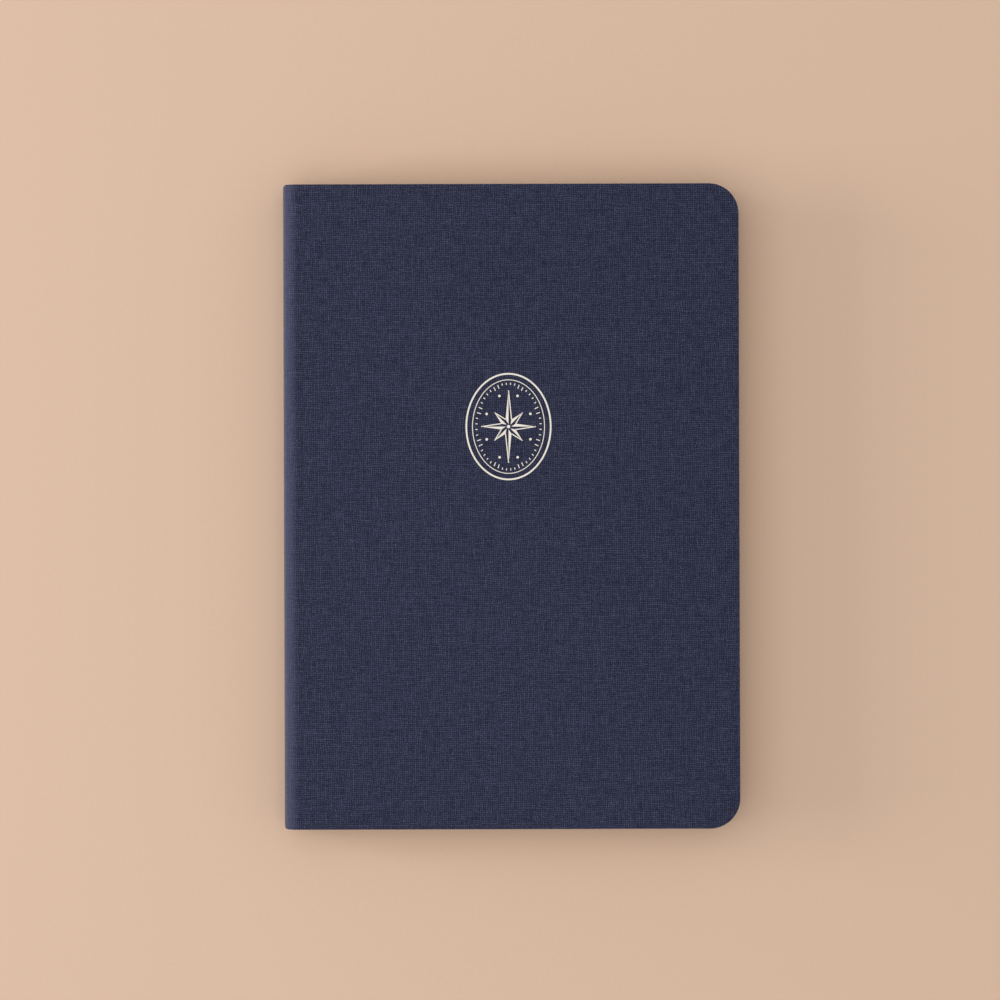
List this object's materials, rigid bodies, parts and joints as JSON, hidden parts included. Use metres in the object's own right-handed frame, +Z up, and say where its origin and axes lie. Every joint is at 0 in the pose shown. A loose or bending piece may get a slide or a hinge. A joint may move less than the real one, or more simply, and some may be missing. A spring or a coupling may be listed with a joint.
{
  "type": "hardcover journal",
  "caption": "Closed cloth-bound A5 hardcover logbook with a sewn page block, hinged covers and a stamped foil emblem.",
  "frame": {"origin": "bottom centre of the closed book's box, on the underside of the back cover", "axes": "+X from the spine towards the fore-edge, +Y towards the head of the book, +Z up through the front cover"},
  "size_m": [0.1484, 0.21, 0.0183],
  "materials": {
    "cover_cloth": "matte",
    "greyboard": "matte",
    "spine_card": "matte",
    "endpaper": "matte",
    "text_paper": "matte",
    "linen_thread": "matte",
    "mull_gauze": "matte",
    "end_band": "matte",
    "foil": "satin"
  },
  "bodies": {
    "back_cover": {"back_cover_cloth": "cover_cloth", "spine_cloth_rear": "cover_cloth", "spine_inlay_rear": "spine_card", "back_board": "greyboard", "back_pastedown": "endpaper"},
    "rear_block": {"back_flyleaf": "endpaper", "mull_rear": "mull_gauze", "headband_rear": "end_band", "tailband_rear": "end_band", "section_05_rear": "text_paper", "section_06": "text_paper", "section_07": "text_paper", "section_08": "text_paper", "section_09": "text_paper", "sewing_thread_05": "linen_thread", "sewing_thread_06": "linen_thread", "sewing_thread_07": "linen_thread", "sewing_thread_08": "linen_thread", "sewing_thread_09": "linen_thread"},
    "front_block": {"front_flyleaf": "endpaper", "mull_front": "mull_gauze", "headband_front": "end_band", "tailband_front": "end_band", "spine_cloth_front": "cover_cloth", "spine_inlay_front": "spine_card", "section_01": "text_paper", "section_02": "text_paper", "section_03": "text_paper", "section_04": "text_paper", "section_05_front": "text_paper", "sewing_thread_01": "linen_thread", "sewing_thread_02": "linen_thread", "sewing_thread_03": "linen_thread", "sewing_thread_04": "linen_thread"},
    "front_cover": {"front_cover_cloth": "cover_cloth", "front_board": "greyboard", "front_pastedown": "endpaper", "emblem_outer_ring": "foil", "emblem_inner_ring": "foil", "emblem_star": "foil"}
  },
  "joints": [
    {"name": "back_cover_open", "type": "hinge", "parent": "back_cover", "child": "rear_block", "pos_m": [-0.0744, 0, 0.0091], "axis": [0, -1, 0], "range_deg": [0, 179]},
    {"name": "middle_open", "type": "hinge", "parent": "rear_block", "child": "front_block", "pos_m": [-0.0744, 0, 0.0091], "axis": [0, 1, 0], "range_deg": [-179, 0]},
    {"name": "front_cover_open", "type": "hinge", "parent": "front_block", "child": "front_cover", "pos_m": [-0.06925, 0, 0.01835], "axis": [0, -1, 0], "range_deg": [0, 179]}
  ]
}
